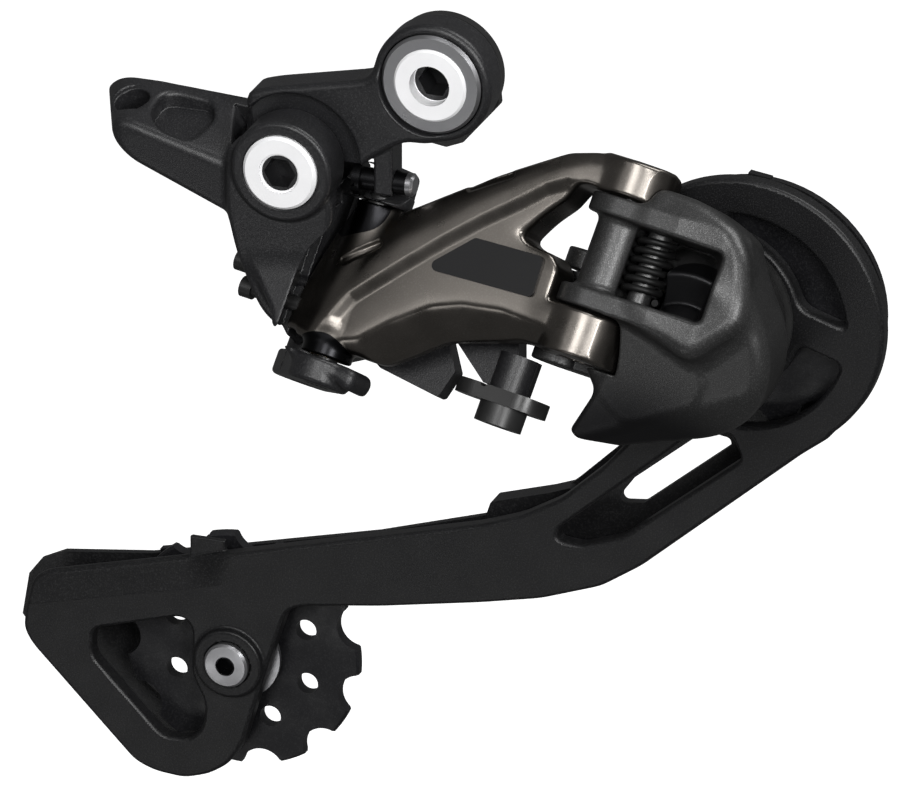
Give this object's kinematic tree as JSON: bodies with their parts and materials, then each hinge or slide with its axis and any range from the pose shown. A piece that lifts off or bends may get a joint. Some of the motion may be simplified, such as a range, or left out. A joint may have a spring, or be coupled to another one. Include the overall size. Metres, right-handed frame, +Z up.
{
  "type": "bicycle rear derailleur",
  "caption": "Long-cage bicycle rear derailleur with a slanted parallelogram, sprung cage and two toothed jockey wheels.",
  "frame": {"origin": "on the mount bolt's axis, at the face of the stop plate that rests on the dropout", "axes": "+X forward along the bicycle, +Y inboard along the mount bolt, +Z up"},
  "size_m": [0.1605, 0.0448, 0.1519],
  "materials": {
    "black_grain_paint": "satin black paint over forged aluminium, with a fine metallic grain",
    "cage_paint": "fine-textured satin black paint on aluminium plate",
    "gunmetal_link": "glossy gunmetal anodising on forged aluminium",
    "badge_inlay": "blank dark inlay",
    "bright_steel": "bright plated steel",
    "grey_steel": "grey plated steel",
    "black_steel": "black oxide steel",
    "bushing_bronze": "plain bearing bronze",
    "black_plastic": "black moulded plastic",
    "seal_rubber": "black rubber",
    "pulley_plastic": "black moulded resin"
  },
  "bodies": {
    "hanger_side": {"hanger_link": "black_grain_paint", "stop_plate": "black_steel", "mount_bolt": "bright_steel", "mount_collar": "grey_steel", "bracket_axle_bolt": "bright_steel"},
    "b_tension_screw": {"b_tension_screw": "bright_steel"},
    "b_knuckle": {"b_knuckle": "black_grain_paint", "bracket_bushing": "bushing_bronze", "bracket_spring": "grey_steel", "cable_ferrule": "black_plastic", "rear_outer_pin": "grey_steel", "rear_inner_pin": "grey_steel"},
    "high_limit_screw": {"high_limit_screw": "black_steel"},
    "low_limit_screw": {"low_limit_screw": "black_steel"},
    "outer_link": {"outer_link": "gunmetal_link", "badge_plate": "badge_inlay", "outer_link_bushings": "bushing_bronze"},
    "inner_link": {"inner_link": "black_grain_paint", "inner_link_bushings": "bushing_bronze", "cable_clamp_plate": "black_steel", "cable_fixing_bolt": "black_steel"},
    "p_knuckle": {"p_knuckle": "black_grain_paint", "p_bushing": "bushing_bronze", "front_outer_pin": "grey_steel", "front_inner_pin": "grey_steel", "return_spring": "black_steel", "cage_spring": "grey_steel", "seal_ring": "seal_rubber"},
    "cage": {"outer_plate": "cage_paint", "inner_plate": "cage_paint", "p_axle": "grey_steel", "cage_stop_pin": "grey_steel", "guide_pulley_bolt": "bright_steel", "tension_pulley_bolt": "bright_steel", "guide_bushing": "bushing_bronze", "tension_bushing": "bushing_bronze", "guide_pulley_caps": "grey_steel", "tension_pulley_caps": "grey_steel"},
    "guide_pulley": {"guide_pulley": "pulley_plastic"},
    "tension_pulley": {"tension_pulley": "pulley_plastic"}
  },
  "joints": [
    {"name": "b_pivot", "type": "hinge", "parent": "hanger_side", "child": "b_knuckle", "pos_m": [-0.0241, -0.01, -0.0162], "axis": [0, 1, 0], "range_deg": [0, 30], "stiffness_Nm_per_rad": 0.39, "springref_deg": -23.89},
    {"name": "b_tension_adjust", "type": "slide", "parent": "hanger_side", "child": "b_tension_screw", "axis": [1, 0, 0], "range_m": [0, 0.002]},
    {"name": "high_limit_adjust", "type": "slide", "parent": "b_knuckle", "child": "high_limit_screw", "axis": [-0.9822, 0.1437, 0.1207], "range_m": [0, 0.003]},
    {"name": "low_limit_adjust", "type": "slide", "parent": "b_knuckle", "child": "low_limit_screw", "axis": [-0.9822, 0.1437, 0.1207], "range_m": [0, 0.003]},
    {"name": "shift", "type": "hinge", "parent": "b_knuckle", "child": "outer_link", "pos_m": [-0.0131, -0.0107, -0.0364], "axis": [0.177, 0.4949, 0.8508], "range_deg": [0, 45], "stiffness_Nm_per_rad": 0.4, "springref_deg": -34.38},
    {"name": "inner_link_turn", "type": "hinge", "parent": "b_knuckle", "child": "inner_link", "pos_m": [-0.01936, -0.00125, -0.04059], "axis": [0.177, 0.4949, 0.8508], "range_deg": [0, 45]},
    {"name": "p_knuckle_turn", "type": "hinge", "parent": "outer_link", "child": "p_knuckle", "pos_m": [0.0323, -0.0087, -0.0275], "axis": [0.177, 0.4949, 0.8508], "range_deg": [-45, 0]},
    {"name": "cage_pivot", "type": "hinge", "parent": "p_knuckle", "child": "cage", "pos_m": [0.0461, 0, -0.0398], "axis": [0, -1, 0], "range_deg": [0, 110], "stiffness_Nm_per_rad": 0.12, "springref_deg": -85.94},
    {"name": "guide_spin", "type": "hinge", "parent": "cage", "child": "guide_pulley", "pos_m": [0.0522, 0.0115, -0.0405], "axis": [0, 1, 0], "continuous": true},
    {"name": "tension_spin", "type": "hinge", "parent": "cage", "child": "tension_pulley", "pos_m": [-0.0417, 0.0115, -0.1179], "axis": [0, 1, 0], "continuous": true}
  ],
  "couplings": [
    {"joint": "inner_link_turn", "follows": "shift", "ratio": 1},
    {"joint": "p_knuckle_turn", "follows": "shift", "ratio": -1}
  ]
}
